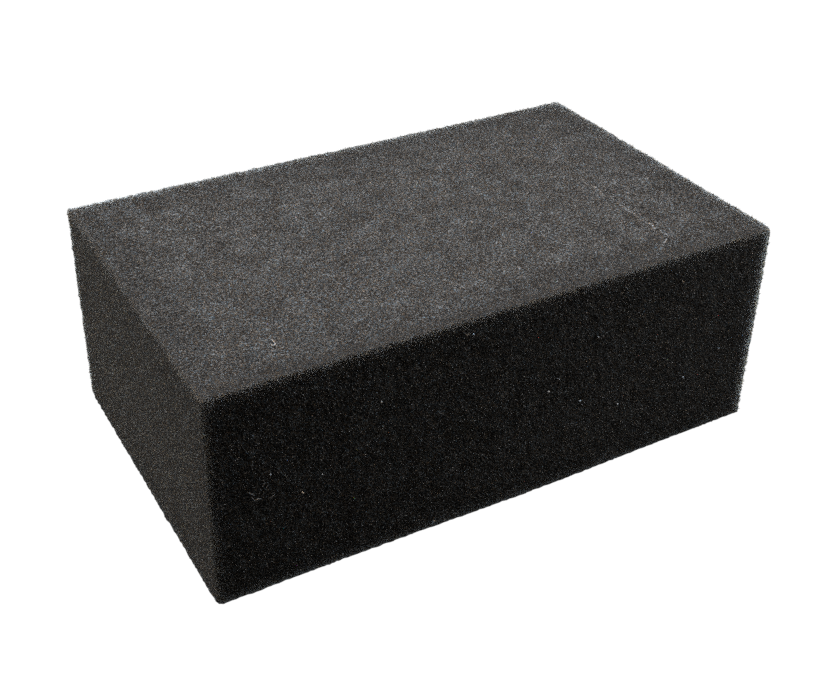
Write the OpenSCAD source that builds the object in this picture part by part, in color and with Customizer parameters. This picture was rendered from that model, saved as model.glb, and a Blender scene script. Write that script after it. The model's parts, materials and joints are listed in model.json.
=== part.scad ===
// Masonry sponge: one block of open-cell foam, sawn to size from slab stock.
// It lies on its base. The origin is the middle of the base, with X along the
// block, Y across it and Z up. All sizes are in millimetres.

/* [Block] */
// Length of the block, along X
block_l = 200; // [120:5:260]
// Width of the block, along Y
block_w = 120; // [60:5:160]
// Height of the block, along Z
block_h = 75; // [40:5:100]

/* [Softened edges] */
// Radius along the four edges of the top face
top_edge_r = 1; // [0.5:0.25:5]
// Radius along the four upright edges
upright_r = 1; // [0.5:0.25:5]
// Radius along the four edges of the base, which stay crisper
base_edge_r = 0.75; // [0.5:0.25:3]

/* [Worn corner] */
// How far the wear at the back left corner of the base reaches along each edge
worn_reach = 6; // [5:0.5:12]
// Radius of the ball that the worn corner follows
worn_ball_r = 14; // [12:1:30]

/* [Hidden] */
FOAM = "#2b2b2e";    // charcoal grey foam
EDGE_FN = 96;        // segments in a full circle of an edge radius
BALL_FN = 192;       // segments in a full circle of the worn corner's ball
OVERRUN = 1;         // how far a cutting shape runs past the face that it cuts
SIDES = [-1, 1];     // the two sides of a section, as signs

// Distance from the worn corner to the middle of its ball, along the corner's
// diagonal, so that the ball crosses each edge worn_reach from the corner.
worn_ball_depth = worn_reach / sqrt(3)
    + sqrt(worn_ball_r ^ 2 - 2 * worn_reach ^ 2 / 3);

// What an edge radius takes off a corner of a section. The corner is at the
// origin, and the section lies towards -X and -Y of it.
module corner_waste(r) {
    translate([-r, -r]) difference() {
        square(r + OVERRUN);
        circle(r = r, $fn = EDGE_FN);
    }
}

// A rectangle a by b about the origin, with its two upper corners rounded to
// upper_r and its two lower corners to lower_r.
module soft_section(a, b, upper_r, lower_r) {
    difference() {
        square([a, b], center = true);
        for (side = SIDES, level = SIDES)
            mirror([side < 0 ? 1 : 0, 0]) mirror([0, level < 0 ? 1 : 0])
                translate([a / 2, b / 2])
                    corner_waste(level > 0 ? upper_r : lower_r);
    }
}

// The block as seen from above, with its upright edges softened.
module plan_prism() {
    linear_extrude(height = block_h)
        soft_section(block_l, block_w, upright_r, upright_r);
}

// The block as seen from its end, with its long edges softened.
module end_prism() {
    translate([-block_l / 2, 0, block_h / 2]) rotate([90, 0, 90])
        linear_extrude(height = block_l)
            soft_section(block_w, block_h, top_edge_r, base_edge_r);
}

// The block as seen from the front, with its short edges softened.
module front_prism() {
    translate([0, block_w / 2, block_h / 2]) rotate([90, 0, 0])
        linear_extrude(height = block_w)
            soft_section(block_l, block_h, top_edge_r, base_edge_r);
}

// What wear has taken off the back left corner of the base.
module worn_waste() {
    into = worn_ball_depth / sqrt(3);
    translate([-block_l / 2, block_w / 2, 0]) difference() {
        translate([-OVERRUN, -worn_reach, -OVERRUN])
            cube(worn_reach + OVERRUN);
        translate([into, -into, into]) sphere(r = worn_ball_r, $fn = BALL_FN);
    }
}

// The whole sponge is this one solid, for sawn foam has no skin and no core.
module foam_block() {
    color(FOAM) difference() {
        intersection() {
            plan_prism();
            end_prism();
            front_prism();
        }
        worn_waste();
    }
}

foam_block();
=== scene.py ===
# Masonry sponge: one block of charcoal open-cell foam, sawn to size from slab
# stock. Lengths are in metres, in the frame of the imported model: X along the
# block, Y across it, Z up, and the origin in the middle of its base.
import json
import math
import random

import bmesh
import bpy
from mathutils import Matrix, Vector

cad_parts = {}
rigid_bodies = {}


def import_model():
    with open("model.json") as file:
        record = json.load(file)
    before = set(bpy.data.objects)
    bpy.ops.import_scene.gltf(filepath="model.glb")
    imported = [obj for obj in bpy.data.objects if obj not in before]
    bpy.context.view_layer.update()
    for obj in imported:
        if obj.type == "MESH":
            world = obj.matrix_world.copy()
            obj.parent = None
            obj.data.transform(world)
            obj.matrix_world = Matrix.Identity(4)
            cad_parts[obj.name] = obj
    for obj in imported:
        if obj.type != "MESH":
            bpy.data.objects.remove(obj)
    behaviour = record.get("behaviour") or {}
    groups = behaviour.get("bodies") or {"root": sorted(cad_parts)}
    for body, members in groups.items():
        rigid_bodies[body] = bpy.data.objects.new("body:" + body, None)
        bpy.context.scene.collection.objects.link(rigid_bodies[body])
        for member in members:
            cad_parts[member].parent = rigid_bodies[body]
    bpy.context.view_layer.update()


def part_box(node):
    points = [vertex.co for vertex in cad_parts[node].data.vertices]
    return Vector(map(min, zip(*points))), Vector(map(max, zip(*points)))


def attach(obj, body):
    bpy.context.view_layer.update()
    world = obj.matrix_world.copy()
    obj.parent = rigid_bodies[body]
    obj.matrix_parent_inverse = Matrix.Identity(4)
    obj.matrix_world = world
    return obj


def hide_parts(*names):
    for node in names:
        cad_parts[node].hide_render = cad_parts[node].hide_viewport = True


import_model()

# ---------------------------------------------------------------- camera
# A three-quarter view from the front left, looking down on the top face, with
# a short telephoto lens that is shifted a little to put the block off centre.
mm = 0.001
camera_azimuth = math.radians(-29.44)
camera_elevation = math.radians(32.06)
camera_roll = math.radians(0.81)
camera_aim = Vector((-4.6, 5.1, 40.9)) * mm
camera_distance = 435.1 * mm
sensor_width = 36.0         # this and the lens are in millimetres, as Blender has them
lens_length = 54.5
lens_shift = (0.0217, -0.0463)
nearest_seen = 10 * mm

camera_data = bpy.data.cameras.new("camera")
camera_data.sensor_width = sensor_width
camera_data.lens = lens_length
camera_data.shift_x, camera_data.shift_y = lens_shift
camera_data.clip_start = nearest_seen
camera = bpy.data.objects.new("camera", camera_data)
bpy.context.scene.collection.objects.link(camera)
turn = (Matrix.Rotation(camera_azimuth, 4, "Z")
        @ Matrix.Rotation(math.pi / 2 - camera_elevation, 4, "X")
        @ Matrix.Rotation(camera_roll, 4, "Z"))
camera_place = camera_aim + turn.to_3x3() @ Vector((0, 0, camera_distance))
camera.matrix_world = Matrix.Translation(camera_place) @ turn
bpy.context.scene.camera = camera

# ---------------------------------------------------------------- foam block
# The block itself: soft reticulated polyurethane foam, cut from a slab with a
# band saw, so its faces are flat but rough with opened cells, and its edges
# are sharp apart from a few corners that handling has rounded.
low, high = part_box("foam_block")
skin_proud = 0.22 * mm      # makes up for what the grid rounds off the skin
base_cut = 0.6 * mm         # made this much deeper, then pressed flat
edge_r = 0.2 * mm
edge_steps = 3
corner_steps = 4
corner_wear = {             # how far each handled corner is worn back
    (-1, 1, -1): 5 * mm,
    (-1, -1, -1): 3 * mm,
    (1, -1, 1): 2.6 * mm,
    (1, 1, 1): 1.5 * mm,
}
out_of_true = {             # how far the saw strayed at a corner, in mm
    (-1, 1, 1): (0.15, 0, 0.45),
    (1, 1, 1): (-0.75, 0, 0),
    (1, -1, 1): (-0.2, 0, 0.45),
    (1, -1, -1): (0.65, 0, 0),
    (-1, -1, -1): (0.03, 0.2, 0),
}
bulge_x = 11 * mm           # the foot of the front bulges a little here
bulge_width = 40 * mm
bulge_height = 30 * mm
bulge_depth = 0.9 * mm
long_edge = 50 * mm         # anything longer is an edge of the block
skin_grid = 0.6 * mm
skin_relief = {             # texture: its kind, its spacing and its depth
    "opened_cells": ("VORONOI", 1.3 * mm, 0.45 * mm),
    "clumps": ("CLOUDS", 2.2 * mm, 0.6 * mm),
}
relief_level = 0.5          # half of it stands out from the cut and half is sunk
skin_triangles = 190000

core_low = Vector((low.x - skin_proud, low.y - skin_proud, low.z - base_cut))
core_high = high + Vector((skin_proud, skin_proud, skin_proud))
bpy.ops.object.select_all(action="DESELECT")
bpy.ops.mesh.primitive_cube_add(size=1, location=(core_low + core_high) / 2,
                                scale=core_high - core_low)
block = bpy.context.object
block.name = "foam_skin"
block.data.name = "foam_skin"
bpy.ops.object.transform_apply(location=True, rotation=True, scale=True)
core_middle = (core_low + core_high) / 2
for vertex in block.data.vertices:
    side = tuple(1 if value > 0 else -1 for value in vertex.co - core_middle)
    vertex.co += Vector(out_of_true.get(side, (0, 0, 0))) * mm
bpy.ops.object.mode_set(mode="EDIT")
for side, wear in corner_wear.items():
    bpy.ops.mesh.select_mode(type="VERT")
    bpy.ops.mesh.select_all(action="DESELECT")
    mesh = bmesh.from_edit_mesh(block.data)
    corner = Vector([core_high[i] if side[i] > 0 else core_low[i] for i in range(3)])
    nearest = min(mesh.verts, key=lambda vertex: (vertex.co - corner).length)
    nearest.select_set(True)
    bmesh.update_edit_mesh(block.data)
    bpy.ops.mesh.bevel(offset=wear, segments=corner_steps, affect="VERTICES")
bpy.ops.mesh.select_mode(type="EDGE")
bpy.ops.mesh.select_all(action="DESELECT")
mesh = bmesh.from_edit_mesh(block.data)
for edge in mesh.edges:
    edge.select_set(edge.calc_length() > long_edge)
bmesh.update_edit_mesh(block.data)
bpy.ops.mesh.bevel(offset=edge_r, segments=edge_steps, affect="EDGES")
bpy.ops.object.mode_set(mode="OBJECT")

remesh = block.modifiers.new("even_grid", "REMESH")
remesh.mode = "VOXEL"
remesh.voxel_size = skin_grid
bpy.ops.object.modifier_apply(modifier=remesh.name)
bpy.ops.object.shade_smooth()
for name, (kind, spacing, depth) in skin_relief.items():
    relief = bpy.data.textures.new(name, kind)
    relief.noise_scale = spacing
    displace = block.modifiers.new(name, "DISPLACE")
    displace.texture = relief
    displace.texture_coords = "LOCAL"
    displace.mid_level = relief_level
    displace.strength = depth
    bpy.ops.object.modifier_apply(modifier=displace.name)
thin = block.modifiers.new("thin", "DECIMATE")
triangles_now = 2 * len(block.data.polygons)
thin.ratio = skin_triangles / triangles_now
bpy.ops.object.modifier_apply(modifier=thin.name)


def bulge(x, z):
    """How far the front stands out at a place, towards the camera."""
    across = math.exp(-((x - bulge_x) / bulge_width) ** 2)
    return bulge_depth * across * max(0, 1 - (z - low.z) / bulge_height)


for vertex in block.data.vertices:
    forward = (high.y - vertex.co.y) / (high.y - low.y)
    vertex.co.y -= bulge(vertex.co.x, vertex.co.z) * forward
    vertex.co.z = max(vertex.co.z, low.z)


def node(tree, kind, **settings):
    """A new node with its settings."""
    made = tree.nodes.new(kind)
    for name, value in settings.items():
        setattr(made, name, value)
    return made


def feed(tree, socket, value):
    """Puts a value, or a link from another socket, into a socket."""
    if isinstance(value, bpy.types.NodeSocket):
        tree.links.new(value, socket)
    else:
        socket.default_value = value


def number(tree, operation, *values):
    """Arithmetic on numbers."""
    made = node(tree, "ShaderNodeMath", operation=operation)
    for socket, value in zip(made.inputs, values):
        feed(tree, socket, value)
    return made.outputs[0]


def product(tree, *factors):
    """Several numbers multiplied together."""
    made = factors[0]
    for factor in factors[1:]:
        made = number(tree, "MULTIPLY", made, factor)
    return made


def vector(tree, operation, *values):
    """Arithmetic on vectors."""
    made = node(tree, "ShaderNodeVectorMath", operation=operation)
    for socket, value in zip(made.inputs, values):
        feed(tree, socket, value)
    return made.outputs[0]


def parts(tree, given):
    """The x, y and z of a vector."""
    made = node(tree, "ShaderNodeSeparateXYZ")
    feed(tree, made.inputs[0], given)
    return made.outputs


def ramp(tree, value, start, end, to_start=0.0, to_end=1.0, easing="LINEAR"):
    """Carries a value from one range to another, and holds it there."""
    made = node(tree, "ShaderNodeMapRange", interpolation_type=easing)
    for socket, given in zip(made.inputs, (value, start, end, to_start, to_end)):
        feed(tree, socket, given)
    return made.outputs["Result"]


def grain(tree, place, fineness, detail):
    """Soft noise about zero, with so many grains to the metre."""
    made = node(tree, "ShaderNodeTexNoise")
    feed(tree, made.inputs["Vector"], place)
    feed(tree, made.inputs["Scale"], fineness)
    feed(tree, made.inputs["Detail"], detail)
    return number(tree, "SUBTRACT", made.outputs["Fac"], 0.5)


def edge_distance(tree, place):
    """How far a place on the skin is from the nearest edge of the block.

    That is the middle one of its distances to the three nearest faces."""
    from_middle = vector(tree, "ABSOLUTE", vector(tree, "SUBTRACT", place, (low + high) / 2))
    x, y, z = parts(tree, vector(tree, "SUBTRACT", (high - low) / 2, from_middle))
    lesser = number(tree, "MINIMUM", x, y)
    greater = number(tree, "MAXIMUM", x, y)
    return number(tree, "MAXIMUM", lesser, number(tree, "MINIMUM", greater, z))


front_lip = Vector((0, low.y, high.z))


def front_lip_distance(tree, place):
    """How far a place is from the top front edge, which the saw left smoothest."""
    x, y, z = parts(tree, vector(tree, "ABSOLUTE", vector(tree, "SUBTRACT", place, front_lip)))
    return number(tree, "MAXIMUM", y, z)


# The look of cut foam: dark pores between paler cell walls, lighter and darker
# patches, a slight cast from one cell to the next, and painted shade: faces
# darker towards the edges, where less light comes back out of the block.
cell_fineness = 1500        # each fineness is in cells or grains to the metre
cell_wall = (0.15, 0.7)     # how far from a cell's middle its wall begins and ends
wall_weight = 1.2
fleck_fineness = 1700
fleck_weight = 5.3
fine_detail = 2
patch_fineness = 130
patch_weight = 1.5
patch_detail = 3
end_texture = 0.25          # how much texture the ends have, cut across the slab,
back_texture = 0.4          # and the back, and the lip of the top at the front
front_lip_texture = 0.45
side_rim = (1.5 * mm, 0.7 * mm)     # an end or the back takes over between these
top_rim = (3 * mm, 1 * mm)          # and the top between these
# Painted shade: each face darker towards its edges, more so on the top, and painted lighter in the
# middle.
top_painted_edge_shade = 0.72
side_painted_edge_shade = 0.92
middle_painted_light = 1.07
painted_shade_reach = 22 * mm
# Painted shade: a thin darker band right along every edge.
lip_painted_shade = 0.9
lip_reach = (0.3 * mm, 2 * mm)
# Painted light: the top paler towards its front edge.
front_lip_painted_shade = 1.08
front_lip_start = 1 * mm
front_lip_reach = (5 * mm, 24 * mm)
cast_fineness = 2200
cast_spread = 0.15          # noise this far from zero gives the full cast
cast_by_shade = 0.17        # paler walls are cooler and dark pores warmer
warm = (1.36, 1.0, 0.64, 1)
cool = (0.7, 1.0, 1.33, 1)
scuff_x = 66.2 * mm         # a faint light scuff across the top
scuff_wander = 5 * mm
scuff_wander_fineness = 120
scuff_half_width = 0.9 * mm
scuff_ends = (-48 * mm, -1 * mm)
scuff_fade = 2 * mm
scuff_break_fineness = 420
scuff_break_spread = 0.12
scuff_strength = (0.4, 1.3)     # where it is faintest and where it is strongest
scuff_gain = 2.2

foam_look = bpy.data.node_groups.new("foam_look", "ShaderNodeTree")
for name, kind in (("Foam", "NodeSocketColor"), ("Contrast", "NodeSocketFloat")):
    foam_look.interface.new_socket(name, in_out="INPUT", socket_type=kind)
for name, kind in (("Color", "NodeSocketColor"), ("Height", "NodeSocketFloat"),
                   ("Texture", "NodeSocketFloat")):
    foam_look.interface.new_socket(name, in_out="OUTPUT", socket_type=kind)
given = node(foam_look, "NodeGroupInput")
place = node(foam_look, "ShaderNodeTexCoord").outputs["Object"]
cells = node(foam_look, "ShaderNodeTexVoronoi", feature="F1")
feed(foam_look, cells.inputs["Vector"], place)
feed(foam_look, cells.inputs["Scale"], cell_fineness)
walls = ramp(foam_look, cells.outputs["Distance"], cell_wall[0], cell_wall[1])
along, across, above = parts(foam_look, place)

# Where on the block a place is, and how much texture it has there.
on_top = ramp(foam_look, above, high.z - top_rim[0], high.z - top_rim[1])
inward = edge_distance(foam_look, place)
lip = front_lip_distance(foam_look, place)
by_end = ramp(foam_look, number(foam_look, "ABSOLUTE", along),
              high.x - side_rim[0], high.x - side_rim[1], 1.0, end_texture)
by_back = ramp(foam_look, across, high.y - side_rim[0], high.y - side_rim[1], 1.0, back_texture)
by_lip = ramp(foam_look, lip, front_lip_start, front_lip_reach[0], front_lip_texture, 1.0)

# The texture, where zero leaves the foam its own shade.
wall_part = product(foam_look, number(foam_look, "SUBTRACT", walls, 0.5), wall_weight)
fleck_part = product(foam_look, grain(foam_look, place, fleck_fineness, fine_detail), fleck_weight)
texture = product(foam_look, number(foam_look, "ADD", wall_part, fleck_part),
                  given.outputs["Contrast"])
patches = product(foam_look, grain(foam_look, place, patch_fineness, patch_detail), patch_weight)
texture = product(foam_look, number(foam_look, "ADD", texture, patches), by_end, by_back, by_lip)

# The scuff: a thin line that wanders, fades at both ends and is broken up.
wander = product(foam_look, grain(foam_look, place, scuff_wander_fineness, fine_detail),
                 scuff_wander)
off_scuff = number(foam_look, "ADD", number(foam_look, "SUBTRACT", along, scuff_x), wander)
scuffed = product(
    foam_look,
    ramp(foam_look, number(foam_look, "ABSOLUTE", off_scuff), scuff_half_width, 0),
    ramp(foam_look, across, scuff_ends[0] - scuff_fade, scuff_ends[0]),
    ramp(foam_look, across, scuff_ends[1] + scuff_fade, scuff_ends[1]),
    ramp(foam_look, grain(foam_look, place, scuff_break_fineness, fine_detail),
         -scuff_break_spread, scuff_break_spread, scuff_strength[0], scuff_strength[1]),
    on_top)

# The shade: texture, painted shade darkening the edges, a painted paler band along the front lip
# of the top, and the scuff.
painted_edge_shade = ramp(foam_look, on_top, 0, 1, side_painted_edge_shade, top_painted_edge_shade)
front_lip_painted_light = ramp(foam_look, lip, front_lip_reach[0], front_lip_reach[1], front_lip_painted_shade, 1.0)
shade = product(
    foam_look,
    number(foam_look, "EXPONENT", texture),
    ramp(foam_look, inward, 0, painted_shade_reach, painted_edge_shade, middle_painted_light, "SMOOTHSTEP"),
    ramp(foam_look, inward, lip_reach[0], lip_reach[1], lip_painted_shade, 1.0),
    ramp(foam_look, on_top, 0, 1, 1.0, front_lip_painted_light),
    ramp(foam_look, scuffed, 0, 1, 1.0, scuff_gain))

# The cast, from warm at 0 to cool at 1.
cast = ramp(foam_look, grain(foam_look, place, cast_fineness, fine_detail),
            -cast_spread, cast_spread, -0.5, 0.5)
cast = number(foam_look, "ADD", product(foam_look, by_back, cast), 0.5)
cast = number(foam_look, "ADD", cast, product(foam_look, texture, cast_by_shade))
warm_cool = node(foam_look, "ShaderNodeMix", data_type="RGBA")
feed(foam_look, warm_cool.inputs["Factor"], cast)
feed(foam_look, warm_cool.inputs["A"], warm)
feed(foam_look, warm_cool.inputs["B"], cool)
shaded = node(foam_look, "ShaderNodeVectorMath", operation="SCALE")
feed(foam_look, shaded.inputs[0],
     vector(foam_look, "MULTIPLY", given.outputs["Foam"], warm_cool.outputs["Result"]))
feed(foam_look, shaded.inputs["Scale"], shade)
done = node(foam_look, "NodeGroupOutput")
feed(foam_look, done.inputs["Color"], shaded.outputs[0])
feed(foam_look, done.inputs["Height"], walls)
feed(foam_look, done.inputs["Texture"], product(foam_look, by_end, by_back))

foam_gloss = 0.3
glow_depth = 1.2 * mm       # how far light goes under the skin


def foam_material(name, colour, contrast, bump_depth, roughness, glow):
    """Foam that light passes through near its edges."""
    material = bpy.data.materials.new(name)
    material.use_nodes = True
    tree = material.node_tree
    shader = tree.nodes["Principled BSDF"]
    look = node(tree, "ShaderNodeGroup", node_tree=foam_look)
    look.name = "look"
    feed(tree, look.inputs["Foam"], colour)
    feed(tree, look.inputs["Contrast"], contrast)
    feed(tree, shader.inputs["Base Color"], look.outputs["Color"])
    bump = node(tree, "ShaderNodeBump")
    feed(tree, bump.inputs["Distance"], bump_depth)
    feed(tree, bump.inputs["Height"], look.outputs["Height"])
    feed(tree, shader.inputs["Normal"], bump.outputs["Normal"])
    feed(tree, shader.inputs["Roughness"], roughness)
    feed(tree, shader.inputs["Specular IOR Level"], foam_gloss)
    shader.subsurface_method = "RANDOM_WALK_SKIN"
    feed(tree, shader.inputs["Subsurface Weight"], glow)
    feed(tree, shader.inputs["Subsurface Radius"], (1, 1, 1))
    feed(tree, shader.inputs["Subsurface Scale"], glow_depth)
    return material


skin_colour = (0.049, 0.0445, 0.0385, 1)
skin_material = foam_material("foam_skin", skin_colour, contrast=1.15, bump_depth=0.2 * mm,
                              roughness=0.6, glow=0.65)
block.data.materials.clear()
block.data.materials.append(skin_material)
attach(block, "root")
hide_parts("foam_block")

# ---------------------------------------------------------------- cut struts
# The ends of the cell struts that the saw left standing on the five faces that
# show: short three-sided stubs rooted in the skin, a few of them painted much
# paler as painted glints. The base has none, since the block lies flat on it.
stub_sizes = {              # width, height, lean and how deep it is rooted
    "stub_a": (0.34 * mm, 0.55 * mm, 0.08 * mm, 0.2 * mm),
    "stub_b": (0.28 * mm, 0.7 * mm, -0.12 * mm, 0.2 * mm),
    "stub_c": (0.42 * mm, 0.45 * mm, 0, 0.15 * mm),
}
stubs_per_mm2 = 1.2
edge_stubs_per_mm2 = 2.2
edge_band = 1.2 * mm        # stubs begin to crowd and grow this far from an edge,
edge_crowd = 0.4 * edge_band        # are thickest from here on
edge_tip = 0.3 * mm         # and tallest from here on
stub_tilt = 0.7
stub_growth = (0.6, 1.3)
edge_growth = (0.95, 1.5)   # at the left end and at the right
front_lip_stubs = 0.4       # how few and short they are at the top front edge,
front_lip_thins = (0.5 * mm, 3 * mm)    # between these distances from it
painted_glint_power = 6.0           # the higher it is, the fewer stubs get a painted glint
painted_glint_gain = 6.3
painted_glint_least = 0.35          # the gain of the dullest stub
painted_glint_mean = 0.7            # the gain of every stub where there is no texture
strut_faces = {             # piece: which way its face looks, and the first of its seeds
    "top_struts": (Vector((0, 0, 1)), 1),
    "front_struts": (Vector((0, -1, 0)), 11),
    "back_struts": (Vector((0, 1, 0)), 21),
    "left_struts": (Vector((-1, 0, 0)), 31),
    "right_struts": (Vector((1, 0, 0)), 41),
}
face_slant = 0.68           # how squarely a bit of skin faces its own side
clear_foot = 1.1 * mm       # no stubs below this, where the block meets the table

strut_stock = bpy.data.collections.new("strut_stock")
bpy.context.scene.collection.children.link(strut_stock)
for name, (width, height, lean, root) in stub_sizes.items():
    bpy.ops.object.select_all(action="DESELECT")
    bpy.ops.mesh.primitive_cone_add(vertices=3, radius1=width / 2, radius2=0, depth=height,
                                    location=(0, 0, height / 2 - root))
    stub = bpy.context.object
    stub.name = name
    stub.data.name = name
    bpy.ops.object.transform_apply(location=True, rotation=True, scale=True)
    for vertex in stub.data.vertices:
        if vertex.co.z > 0:
            vertex.co.x += lean
    for collection in list(stub.users_collection):
        collection.objects.unlink(stub)
    strut_stock.objects.link(stub)

strut_colour = (0.055, 0.05, 0.043, 1)
strut_material = foam_material("cut_struts", strut_colour, contrast=0.8, bump_depth=0.05 * mm,
                               roughness=0.5, glow=0.65)
tree = strut_material.node_tree
look = tree.nodes["look"]
# Painted glints: a few stubs get a much paler colour, standing in for highlights.
painted_glint = node(tree, "ShaderNodeAttribute", attribute_name="painted_glint").outputs["Fac"]
gain = product(tree, number(tree, "POWER", painted_glint, painted_glint_power), painted_glint_gain)
gain = product(tree, number(tree, "ADD", gain, painted_glint_least - painted_glint_mean), look.outputs["Texture"])
painted_glint_colour = node(tree, "ShaderNodeVectorMath", operation="SCALE")
feed(tree, painted_glint_colour.inputs[0], look.outputs["Color"])
feed(tree, painted_glint_colour.inputs["Scale"], number(tree, "ADD", gain, painted_glint_mean))
feed(tree, tree.nodes["Principled BSDF"].inputs["Base Color"], painted_glint_colour.outputs[0])


def chance(tree, seed, least=0.0, most=1.0):
    """A random number for each stub. The node's first Min and Max are for vectors."""
    made = node(tree, "FunctionNodeRandomValue", data_type="FLOAT")
    feed(tree, made.inputs[2], least)
    feed(tree, made.inputs[3], most)
    feed(tree, made.inputs["Seed"], seed)
    return made.outputs[1]


def scatter_roots(tree, skin, inward, by_lip, seed):
    """The places where stubs are rooted, and which way the skin faces there."""
    points = node(tree, "GeometryNodeDistributePointsOnFaces", distribute_method="RANDOM")
    feed(tree, points.inputs["Mesh"], skin)
    feed(tree, points.inputs["Seed"], seed)
    crowd = ramp(tree, inward, edge_crowd, edge_band,
                 edge_stubs_per_mm2 / mm ** 2, stubs_per_mm2 / mm ** 2)
    feed(tree, points.inputs["Density"], product(tree, crowd, by_lip))
    marked = node(tree, "GeometryNodeStoreNamedAttribute", data_type="FLOAT", domain="POINT")
    feed(tree, marked.inputs["Geometry"], points.outputs["Points"])
    feed(tree, marked.inputs["Name"], "painted_glint")
    feed(tree, marked.inputs["Value"], chance(tree, seed + 3))
    return marked.outputs["Geometry"], points.outputs["Rotation"]


def tilted_at_random(tree, rotation, seed):
    """A rotation, tipped a little and turned by any amount."""
    tilt = node(tree, "FunctionNodeRandomValue", data_type="FLOAT_VECTOR")
    feed(tree, tilt.inputs["Min"], (-stub_tilt, -stub_tilt, -math.pi))
    feed(tree, tilt.inputs["Max"], (stub_tilt, stub_tilt, math.pi))
    feed(tree, tilt.inputs["Seed"], seed + 1)
    tilted = node(tree, "FunctionNodeEulerToRotation")
    feed(tree, tilted.inputs[0], tilt.outputs["Value"])
    turned = node(tree, "FunctionNodeRotateRotation", rotation_space="LOCAL")
    feed(tree, turned.inputs["Rotation"], rotation)
    feed(tree, turned.inputs["Rotate By"], tilted.outputs[0])
    return turned.outputs[0]


def grow_struts(piece, seed):
    """Turns a piece of skin into the stubs that stand on it."""
    tree = bpy.data.node_groups.new(piece.name, "GeometryNodeTree")
    tree.interface.new_socket("Geometry", in_out="INPUT", socket_type="NodeSocketGeometry")
    tree.interface.new_socket("Geometry", in_out="OUTPUT", socket_type="NodeSocketGeometry")
    skin = node(tree, "NodeGroupInput").outputs[0]
    root = node(tree, "GeometryNodeInputPosition").outputs[0]
    inward = edge_distance(tree, root)
    by_lip = ramp(tree, front_lip_distance(tree, root), front_lip_thins[0], front_lip_thins[1],
                  front_lip_stubs, 1.0)
    roots, rotation = scatter_roots(tree, skin, inward, by_lip, seed)
    at_edge = ramp(tree, parts(tree, root)[0], low.x, high.x, edge_growth[0], edge_growth[1])
    grown = product(tree, chance(tree, seed + 2, stub_growth[0], stub_growth[1]),
                    ramp(tree, inward, edge_tip, edge_band, at_edge, 1.0), by_lip)
    stock = node(tree, "GeometryNodeCollectionInfo")
    feed(tree, stock.inputs["Collection"], strut_stock)
    feed(tree, stock.inputs["Separate Children"], True)
    feed(tree, stock.inputs["Reset Children"], True)
    stubs = node(tree, "GeometryNodeInstanceOnPoints")
    feed(tree, stubs.inputs["Points"], roots)
    feed(tree, stubs.inputs["Instance"], stock.outputs[0])
    feed(tree, stubs.inputs["Pick Instance"], True)
    feed(tree, stubs.inputs["Instance Index"],
         number(tree, "FLOOR", chance(tree, seed + 4, 0.0, len(stub_sizes))))
    feed(tree, stubs.inputs["Rotation"], tilted_at_random(tree, rotation, seed))
    feed(tree, stubs.inputs["Scale"], grown)
    real = node(tree, "GeometryNodeRealizeInstances")
    feed(tree, real.inputs[0], stubs.outputs[0])
    feed(tree, node(tree, "NodeGroupOutput").inputs[0], real.outputs[0])
    modifier = piece.modifiers.new("struts", "NODES")
    modifier.node_group = tree
    bpy.ops.object.select_all(action="DESELECT")
    bpy.context.view_layer.objects.active = piece
    piece.select_set(True)
    bpy.ops.object.modifier_apply(modifier=modifier.name)


for name, (outward, seed) in strut_faces.items():
    struts = bpy.data.objects.new(name, block.data.copy())
    struts.data.name = name
    bpy.context.scene.collection.objects.link(struts)
    mesh = bmesh.new()
    mesh.from_mesh(struts.data)
    turned_away = [face for face in mesh.faces if face.normal.dot(outward) < face_slant
                   or face.calc_center_median().z < low.z + clear_foot]
    bmesh.ops.delete(mesh, geom=turned_away, context="FACES")
    mesh.to_mesh(struts.data)
    mesh.free()
    grow_struts(struts, seed)
    struts.data.materials.clear()
    struts.data.materials.append(strut_material)
    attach(struts, "root")
for stub in list(strut_stock.objects):
    bpy.data.objects.remove(stub)
bpy.data.collections.remove(strut_stock)

# ---------------------------------------------------------------- lint
# Pale lint, flecks and crumbs of foam caught on the skin: a curl on the top, a
# fluffy patch on the front, shreds at the foot of it and specks all over. Their
# places and radii are in millimetres.
stand_off = {"top": 0.85 * mm, "front": 0.65 * mm, "left": 0.65 * mm}
strands = (                 # face, start, bend and end along it, and the radius
    ("front", (-88.9, 39.7), (-88.0, 38.6), (-86.8, 37.5), 0.11),
    ("front", (-87.7, 37.1), (-87.2, 36.4), (-86.7, 35.2), 0.12),
    ("front", (-86.6, 35.6), (-85.7, 35.8), (-84.9, 35.5), 0.12),
    ("front", (-83.7, 41.8), (-83.4, 40.4), (-84.2, 39.6), 0.11),
    ("front", (-82.6, 40.5), (-82.0, 39.4), (-82.9, 38.9), 0.11),
    ("front", (-81.7, 34.3), (-81.4, 35.0), (-80.6, 35.2), 0.11),
    ("front", (-18.5, 71.2), (-17.8, 70.0), (-17.1, 70.6), 0.16),
    ("front", (-27.8, 2.0), (-27.3, 2.8), (-26.6, 2.6), 0.26),
    ("front", (-23.4, 1.4), (-23.1, 1.7), (-22.8, 1.8), 0.2),
    ("front", (-59.4, 2.2), (-59.3, 2.7), (-59.1, 3.1), 0.24),
    ("front", (-56.9, 1.4), (-56.6, 1.1), (-56.2, 1.0), 0.16),
    ("top", (-72.3, -43.6), (-71.9, -44.9), (-72.1, -46.0), 0.18),
    ("top", (-72.1, -46.0), (-72.6, -47.1), (-73.5, -46.4), 0.28),
    ("top", (61.3, -51.9), (62.8, -51.3), (64.2, -50.0), 0.26),
)
crumbs = (                  # face, where it is along it, and the radius
    ("front", -81.5, 43, 0.27), ("front", -46, 56, 0.3), ("front", -15.5, 70, 0.26),
    ("front", 27, 31, 0.3), ("front", 85, 33, 0.28),
)
stray_crumbs = 8            # and how many more lie anywhere on the front
stray_flecks = {"top": 6, "left": 4}
scuff_flecks = 5
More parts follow.
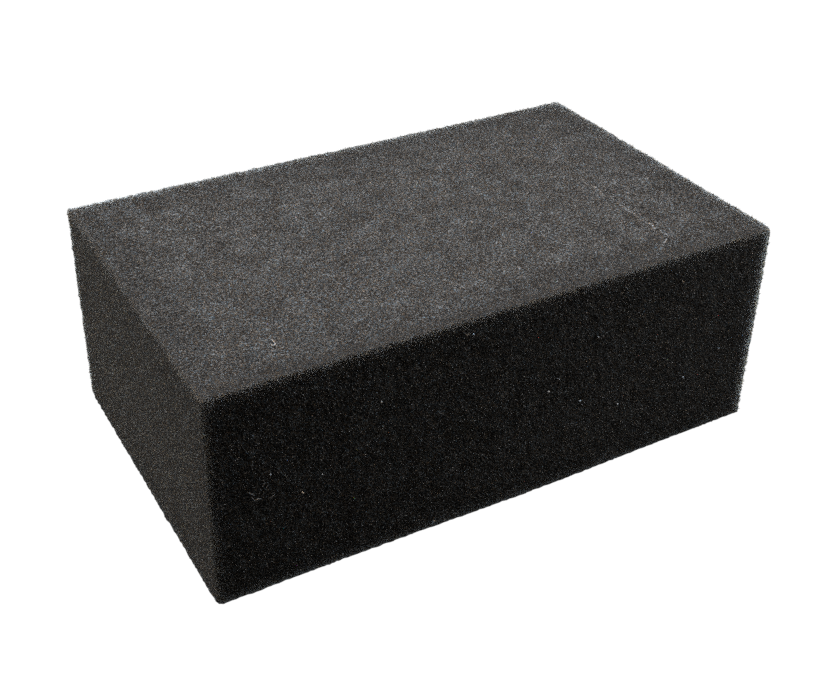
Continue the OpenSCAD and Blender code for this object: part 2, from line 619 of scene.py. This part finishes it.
scuff_scatter = 1           # how far to either side of the scuff its flecks lie
stray_radius = (0.2, 0.32)
stray_margin = 6            # how far a stray keeps from the edges
stray_axes = {"top": (0, 1), "front": (0, 2), "left": (1, 2)}
fibre_rounding = 1          # these three say how finely the small pieces are meshed
fibre_steps = 3
crumb_rounding = 2
crumb_roughness = 0.25
lint_colour = (0.36, 0.35, 0.33, 1)
crumb_colour = (0.85, 0.84, 0.8, 1)
random.seed(7)


def just_off(face, a, b):
    """A place just clear of a face, from millimetres along it."""
    if face == "top":
        return (a * mm, b * mm, high.z + stand_off[face])
    if face == "left":
        return (low.x - stand_off[face], a * mm, b * mm)
    return (a * mm, low.y - bulge(a * mm, b * mm) - stand_off[face], b * mm)


def add_fibre(points, radius):
    """A fibre through three points, with its ends closed."""
    start, bend, end = (Vector(point) for point in points)
    stops = (start, (start + bend) / 2, bend, (bend + end) / 2, end)
    bpy.ops.object.select_all(action="DESELECT")
    bpy.ops.curve.primitive_nurbs_path_add(location=(0, 0, 0))
    fibre = bpy.context.object
    for point, stop in zip(fibre.data.splines[0].points, stops):
        point.co = (stop.x, stop.y, stop.z, 1)
    fibre.data.bevel_depth = radius
    fibre.data.bevel_resolution = fibre_rounding
    fibre.data.resolution_u = fibre_steps
    fibre.data.use_fill_caps = True
    bpy.ops.object.convert(target="MESH")
    return bpy.context.object


def add_crumb(place, radius):
    """A crumb of foam, knocked out of round."""
    bpy.ops.object.select_all(action="DESELECT")
    bpy.ops.mesh.primitive_ico_sphere_add(subdivisions=crumb_rounding, radius=radius,
                                          location=place)
    bpy.ops.object.transform_apply(location=True, rotation=True, scale=True)
    crumb = bpy.context.object
    for vertex in crumb.data.vertices:
        push = [random.uniform(-crumb_roughness, crumb_roughness) * radius for axis in range(3)]
        vertex.co += Vector(push)
    return crumb


def stray(face):
    """A speck anywhere on a face."""
    places = [random.uniform(low[axis] / mm + stray_margin, high[axis] / mm - stray_margin)
              for axis in stray_axes[face]]
    return (face, *places, random.uniform(*stray_radius))


def scuff_fleck():
    """A fleck that the scuff pulled up."""
    across_it = random.uniform(-scuff_scatter, scuff_scatter)
    along_it = random.uniform(*scuff_ends)
    return ("top", scuff_x / mm + across_it, along_it / mm, random.uniform(*stray_radius))


def gather(name, pieces, colour):
    """Joins small pieces into one, and gives it its material."""
    bpy.ops.object.select_all(action="DESELECT")
    for piece in pieces:
        piece.select_set(True)
    whole = pieces[0]
    bpy.context.view_layer.objects.active = whole
    bpy.ops.object.join()
    whole.name = name
    whole.data.name = name
    bpy.ops.object.transform_apply(location=True, rotation=True, scale=True)
    whole.data.materials.clear()
    whole.data.materials.append(foam_material(name, colour, contrast=0.3, bump_depth=0.02 * mm,
                                              roughness=0.6, glow=0.0))
    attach(whole, "root")


lint = [add_fibre([just_off(face, *stop) for stop in stops], radius * mm)
        for face, *stops, radius in strands]
flecks = [scuff_fleck() for count in range(scuff_flecks)]
flecks += [stray(face) for face, total in stray_flecks.items() for count in range(total)]
specks = list(crumbs) + [stray("front") for count in range(stray_crumbs)]
lint += [add_crumb(just_off(face, a, b), radius * mm) for face, a, b, radius in flecks]
gather("lint", lint, lint_colour)
gather("crumbs", [add_crumb(just_off(face, a, b), radius * mm) for face, a, b, radius in specks],
       crumb_colour)

# ---------------------------------------------------------------- studio
# A white table with no edge to it, that can be looked through from below. A
# soft light above and another on the left, low strips on the right and behind
# that shine through the edges, a weak one for the front and one for the base.
floor_size = 6
floor_glow = 1.02           # just past white, so that the table is white all over
ambient = 0.01
plain_white = (1, 1, 1, 1)
floor_gap = 0.05 * mm

bpy.ops.object.select_all(action="DESELECT")
bpy.ops.mesh.primitive_plane_add(size=floor_size, location=(0, 0, low.z - floor_gap))
floor = bpy.context.object
floor.name = "floor"
floor.data.name = "floor"
bpy.ops.object.transform_apply(location=True, rotation=True, scale=True)
floor_material = bpy.data.materials.new("floor")
floor_material.use_nodes = True
tree = floor_material.node_tree
tree.nodes.clear()
glow = node(tree, "ShaderNodeEmission")
feed(tree, glow.inputs["Strength"], floor_glow)
one_sided = node(tree, "ShaderNodeMixShader")
feed(tree, one_sided.inputs[0], node(tree, "ShaderNodeNewGeometry").outputs["Backfacing"])
feed(tree, one_sided.inputs[1], glow.outputs[0])
feed(tree, one_sided.inputs[2], node(tree, "ShaderNodeBsdfTransparent").outputs[0])
feed(tree, node(tree, "ShaderNodeOutputMaterial").inputs["Surface"], one_sided.outputs[0])
floor.data.materials.append(floor_material)
floor.visible_diffuse = False
floor.visible_glossy = False
floor.visible_shadow = False

block_heart = Vector((0, 0, 40)) * mm
block_foot = Vector((0, 0, 36)) * mm
neutral = (1.0, 1.0, 1.0)
daylight = (0.985, 1.0, 1.055)
skylight = (0.88, 1.01, 1.12)
lights = {                  # place, aim, width, height, watts and colour
    "top_light": ((0.1, 0.05, 1.2), block_heart, 0.6, 0.6, 12.8, daylight),
    "left_light": ((-1.15, 0.45, 0.4), block_heart, 1.2, 1.2, 7.5, neutral),
    "right_light": ((1.1, 0.35, 0.036), block_foot, 0.6, 0.072, 11.4, skylight),
    "back_light": ((0.06, 1.3, 0.036), block_foot, 0.3, 0.072, 13.6, skylight),
    "front_light": ((1.0, -0.45, 0.1), block_heart, 0.3, 0.3, 1.6, neutral),
    "base_light": ((0, 0, -1.0), block_heart, 0.1, 0.1, 0.8, skylight),
}
for name, (place, aim, width, height, watts, colour) in lights.items():
    softbox = bpy.data.lights.new(name, "AREA")
    softbox.shape = "RECTANGLE"
    softbox.size = width
    softbox.size_y = height
    softbox.energy = watts
    softbox.color = colour
    light = bpy.data.objects.new(name, softbox)
    bpy.context.scene.collection.objects.link(light)
    facing = (Vector(place) - aim).to_track_quat("Z", "Y").to_matrix().to_4x4()
    light.matrix_world = Matrix.Translation(place) @ facing

world = bpy.data.worlds.new("studio")
bpy.context.scene.world = world
world.use_nodes = True
tree = world.node_tree
dim = tree.nodes["Background"]
feed(tree, dim.inputs["Color"], plain_white)
feed(tree, dim.inputs["Strength"], ambient)
white = node(tree, "ShaderNodeBackground")
feed(tree, white.inputs["Color"], plain_white)
feed(tree, white.inputs["Strength"], floor_glow)
seen = node(tree, "ShaderNodeMixShader")
feed(tree, seen.inputs[0], node(tree, "ShaderNodeLightPath").outputs["Is Camera Ray"])
feed(tree, seen.inputs[1], dim.outputs[0])
feed(tree, seen.inputs[2], white.outputs[0])
feed(tree, tree.nodes["World Output"].inputs["Surface"], seen.outputs[0])
bpy.context.scene.view_settings.view_transform = "Standard"
bpy.context.scene.cycles.use_denoising = False
